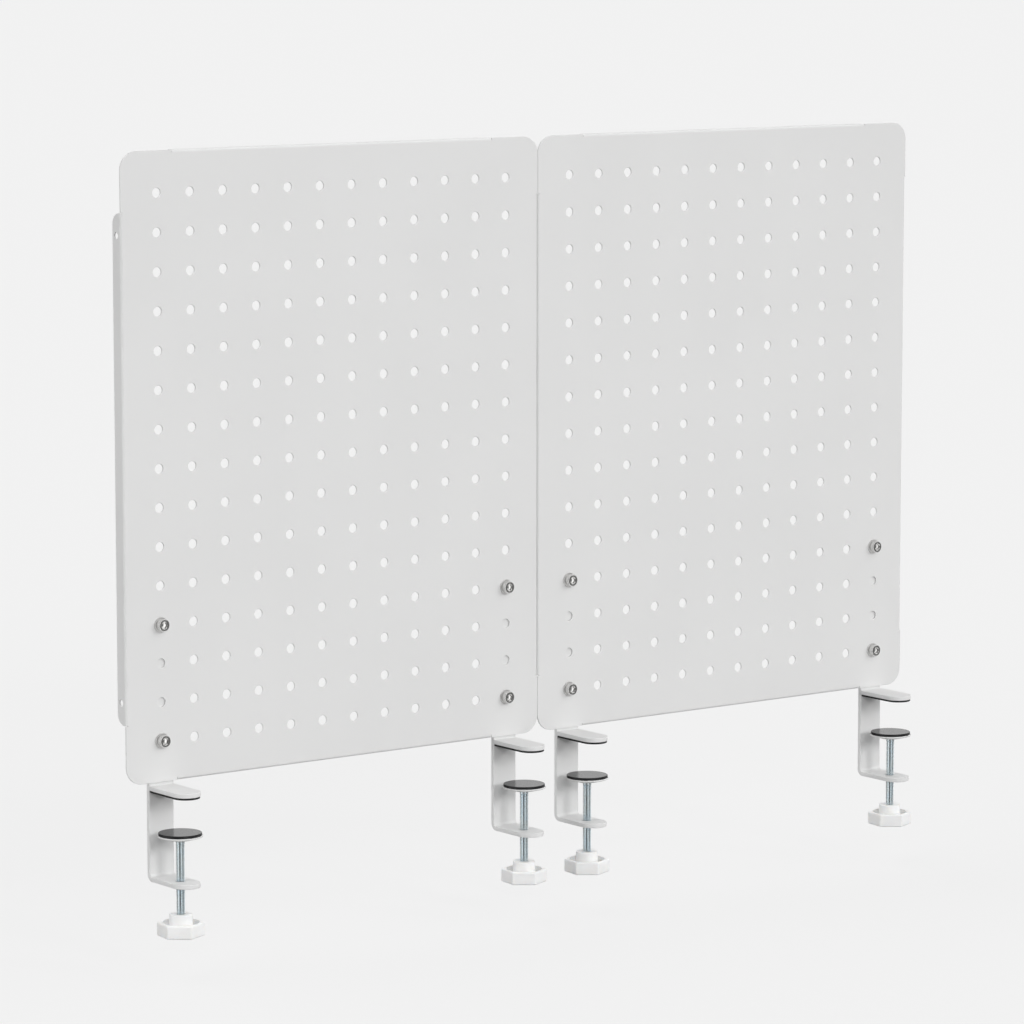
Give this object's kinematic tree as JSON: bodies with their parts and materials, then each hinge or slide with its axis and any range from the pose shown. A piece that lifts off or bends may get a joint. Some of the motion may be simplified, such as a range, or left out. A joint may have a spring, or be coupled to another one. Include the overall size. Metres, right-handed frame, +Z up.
{
  "type": "desk clamp pegboard",
  "caption": "Pair of perforated steel peg boards side by side that clamp to a desk's back edge with screw clamps on swivelling pads.",
  "frame": {"origin": "midway between the boards, on the desk's edge line (the columns' front faces) and on the desk's top (underside of the jaw pads)", "axes": "+X to the right along the boards, +Y to their back, +Z up; the boards and the clamps' mouths face -Y"},
  "size_m": [0.6678, 0.0488, 0.5081],
  "materials": {
    "white_powder_coat": "satin powder coat",
    "white_plastic": "moulded nylon",
    "black_foam": "closed-cell foam",
    "black_rubber": "matt rubber",
    "zinc_plate": "blue zinc plate",
    "nickel_bolt": "nickel plate",
    "spring_steel": "plain spring steel"
  },
  "bodies": {
    "boards": {"board_left": "white_powder_coat", "board_right": "white_powder_coat", "bracket_1": "white_powder_coat", "jaw_1": "white_powder_coat", "jaw_pad_1": "black_foam", "board_bolts_1": "nickel_bolt", "board_washers_1": "nickel_bolt", "board_nuts_1": "zinc_plate", "bracket_2": "white_powder_coat", "jaw_2": "white_powder_coat", "jaw_pad_2": "black_foam", "board_bolts_2": "nickel_bolt", "board_washers_2": "nickel_bolt", "board_nuts_2": "zinc_plate", "bracket_3": "white_powder_coat", "jaw_3": "white_powder_coat", "jaw_pad_3": "black_foam", "board_bolts_3": "nickel_bolt", "board_washers_3": "nickel_bolt", "board_nuts_3": "zinc_plate", "bracket_4": "white_powder_coat", "jaw_4": "white_powder_coat", "jaw_pad_4": "black_foam", "board_bolts_4": "nickel_bolt", "board_washers_4": "nickel_bolt", "board_nuts_4": "zinc_plate", "joining_screws": "nickel_bolt", "joining_nuts": "zinc_plate"},
    "carriage_1": {"foot_clip_1": "spring_steel"},
    "screw_1": {"clamp_screw_1": "zinc_plate", "knob_1": "white_plastic"},
    "foot_1": {"foot_dish_1": "white_powder_coat", "foot_pad_1": "black_rubber"},
    "carriage_2": {"foot_clip_2": "spring_steel"},
    "screw_2": {"clamp_screw_2": "zinc_plate", "knob_2": "white_plastic"},
    "foot_2": {"foot_dish_2": "white_powder_coat", "foot_pad_2": "black_rubber"},
    "carriage_3": {"foot_clip_3": "spring_steel"},
    "screw_3": {"clamp_screw_3": "zinc_plate", "knob_3": "white_plastic"},
    "foot_3": {"foot_dish_3": "white_powder_coat", "foot_pad_3": "black_rubber"},
    "carriage_4": {"foot_clip_4": "spring_steel"},
    "screw_4": {"clamp_screw_4": "zinc_plate", "knob_4": "white_plastic"},
    "foot_4": {"foot_dish_4": "white_powder_coat", "foot_pad_4": "black_rubber"}
  },
  "joints": [
    {"name": "screw_1_travel", "type": "slide", "parent": "boards", "child": "carriage_1", "axis": [0, 0, 1], "range_m": [-0.02575, 0.0185]},
    {"name": "screw_1_turn", "type": "hinge", "parent": "carriage_1", "child": "screw_1", "pos_m": [-0.3067, -0.022, -0.07735], "axis": [0, 0, 1], "range_deg": [-9272, 6662]},
    {"name": "foot_1_tilt", "type": "hinge", "parent": "carriage_1", "child": "foot_1", "pos_m": [-0.3067, -0.022, -0.0281], "axis": [1, 0, 0], "range_deg": [-4, 4]},
    {"name": "screw_2_travel", "type": "slide", "parent": "boards", "child": "carriage_2", "axis": [0, 0, 1], "range_m": [-0.02575, 0.0185]},
    {"name": "screw_2_turn", "type": "hinge", "parent": "carriage_2", "child": "screw_2", "pos_m": [-0.0273, -0.022, -0.07735], "axis": [0, 0, 1], "range_deg": [-9272, 6662]},
    {"name": "foot_2_tilt", "type": "hinge", "parent": "carriage_2", "child": "foot_2", "pos_m": [-0.0273, -0.022, -0.0281], "axis": [1, 0, 0], "range_deg": [-4, 4]},
    {"name": "screw_3_travel", "type": "slide", "parent": "boards", "child": "carriage_3", "axis": [0, 0, 1], "range_m": [-0.02575, 0.0185]},
    {"name": "screw_3_turn", "type": "hinge", "parent": "carriage_3", "child": "screw_3", "pos_m": [0.0273, -0.022, -0.07735], "axis": [0, 0, 1], "range_deg": [-9272, 6662]},
    {"name": "foot_3_tilt", "type": "hinge", "parent": "carriage_3", "child": "foot_3", "pos_m": [0.0273, -0.022, -0.0281], "axis": [1, 0, 0], "range_deg": [-4, 4]},
    {"name": "screw_4_travel", "type": "slide", "parent": "boards", "child": "carriage_4", "axis": [0, 0, 1], "range_m": [-0.02575, 0.0185]},
    {"name": "screw_4_turn", "type": "hinge", "parent": "carriage_4", "child": "screw_4", "pos_m": [0.3067, -0.022, -0.07735], "axis": [0, 0, 1], "range_deg": [-9272, 6662]},
    {"name": "foot_4_tilt", "type": "hinge", "parent": "carriage_4", "child": "foot_4", "pos_m": [0.3067, -0.022, -0.0281], "axis": [1, 0, 0], "range_deg": [-4, 4]}
  ],
  "couplings": [
    {"joint": "screw_1_turn", "follows": "screw_1_travel", "rad_per_m": 6283.2},
    {"joint": "screw_2_turn", "follows": "screw_2_travel", "rad_per_m": 6283.2},
    {"joint": "screw_3_turn", "follows": "screw_3_travel", "rad_per_m": 6283.2},
    {"joint": "screw_4_turn", "follows": "screw_4_travel", "rad_per_m": 6283.2}
  ]
}
